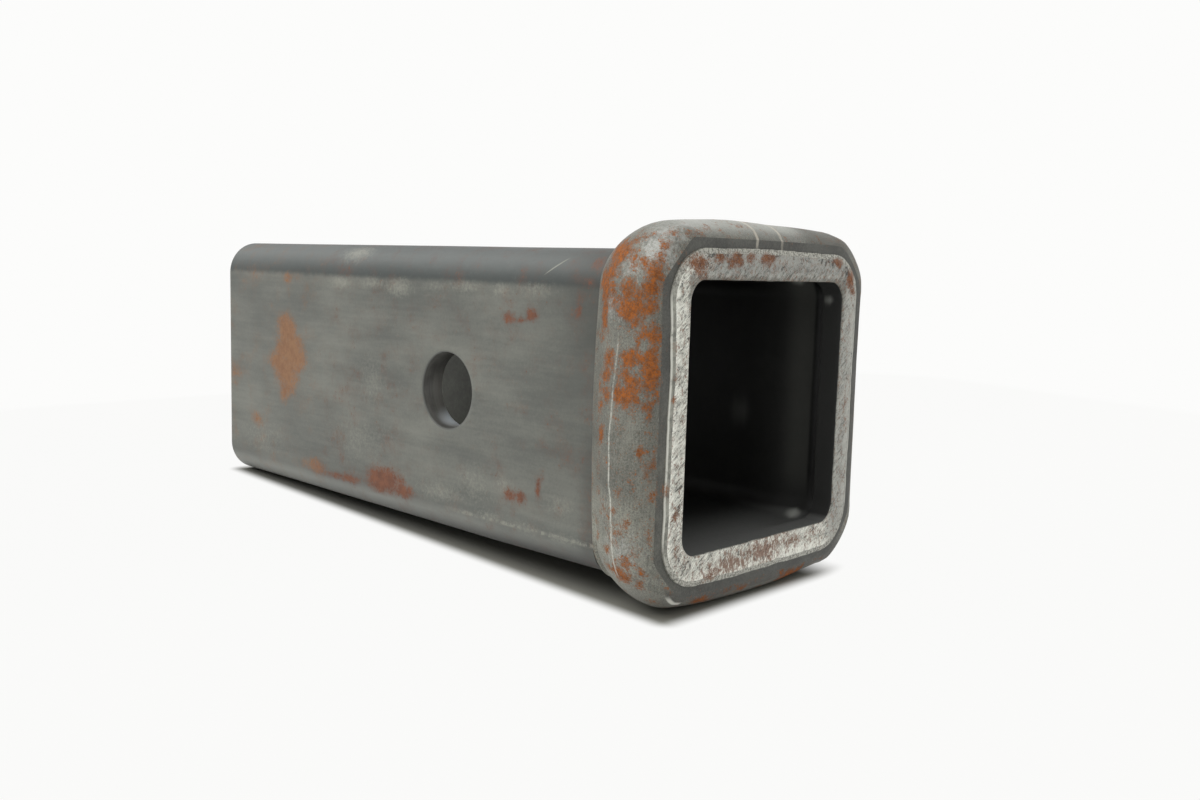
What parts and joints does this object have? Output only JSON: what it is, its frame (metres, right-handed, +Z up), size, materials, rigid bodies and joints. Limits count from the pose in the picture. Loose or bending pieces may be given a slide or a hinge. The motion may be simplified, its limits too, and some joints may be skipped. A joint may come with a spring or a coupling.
{
  "type": "weld-on receiver tube",
  "caption": "Square steel receiver tube with a crowned collar formed round its mouth and a cross hole through both side walls for a locking pin.",
  "frame": {"origin": "where the pin hole's axis crosses the middle of the tube", "axes": "+X along the pin hole, +Y along the tube towards its sawn end, with the collared mouth towards -Y, +Z up"},
  "size_m": [0.0762, 0.1588, 0.0762],
  "materials": {
    "steel": "raw hot-rolled scale with rust, machined bright at the mouth"
  },
  "bodies": {
    "root": {"receiver_tube": "steel"}
  },
  "joints": []
}
